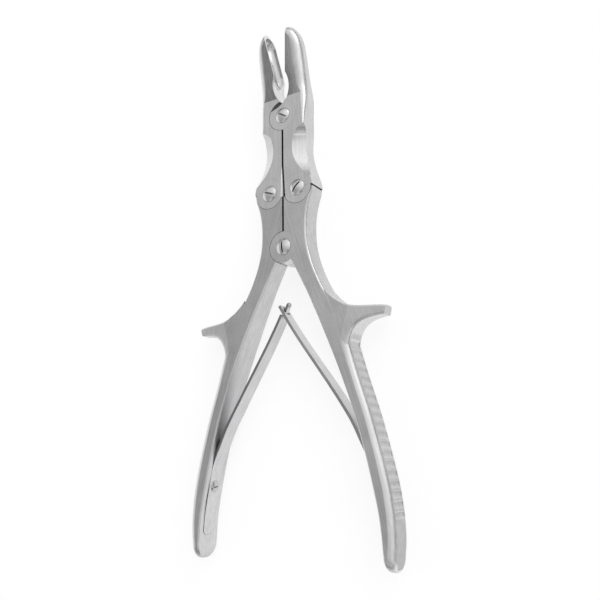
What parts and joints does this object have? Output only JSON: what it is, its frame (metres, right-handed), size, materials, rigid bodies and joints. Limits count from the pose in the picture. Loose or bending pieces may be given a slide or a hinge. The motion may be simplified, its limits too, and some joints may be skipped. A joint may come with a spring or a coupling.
{
  "type": "bone rongeur",
  "caption": "Double-action bone rongeur in satin stainless steel with cupped jaws, slotted pivot screws, finger horns and an interlocking double leaf spring.",
  "frame": {"origin": "centre of the outline in plan, at the height of the grips' flat backs", "axes": "+Y along the instrument toward the jaws, +X toward the right handle, +Z toward the screw heads"},
  "size_m": [0.0926, 0.2258, 0.0169],
  "materials": {
    "satin_steel": "satin",
    "spring_steel": "satin",
    "polished_steel": "polished"
  },
  "bodies": {
    "left_handle": {"left_handle": "satin_steel", "handle_pivot_screw": "polished_steel", "left_link_screw": "polished_steel", "left_spring": "spring_steel", "left_spring_screw": "polished_steel"},
    "right_handle": {"right_handle": "satin_steel", "right_link_screw": "polished_steel", "right_spring": "spring_steel", "right_spring_screw": "polished_steel"},
    "left_jaw": {"left_jaw": "satin_steel", "jaw_pivot_screw": "polished_steel"},
    "right_jaw": {"right_jaw": "satin_steel"}
  },
  "joints": [
    {"name": "handle_pivot", "type": "hinge", "parent": "left_handle", "child": "right_handle", "pos_m": [0, 0.01326, 0.0063], "axis": [0, 0, -1], "range_deg": [0, 24.17], "stiffness_Nm_per_rad": 3, "springref_deg": -2.86, "deforming": ["left_spring", "right_spring"]},
    {"name": "left_jaw_pivot", "type": "hinge", "parent": "left_handle", "child": "left_jaw", "pos_m": [-0.007, 0.03826, 0.0063], "axis": [0, 0, -1], "range_deg": [0, 20.6]},
    {"name": "right_jaw_pivot", "type": "hinge", "parent": "right_handle", "child": "right_jaw", "pos_m": [0.007, 0.03826, 0.0063], "axis": [0, 0, 1], "range_deg": [0, 20.6]}
  ],
  "couplings": [
    {"joint": "left_jaw_pivot", "follows": "handle_pivot", "ratio": 0.8517},
    {"joint": "right_jaw_pivot", "follows": "handle_pivot", "ratio": 0.8517}
  ]
}
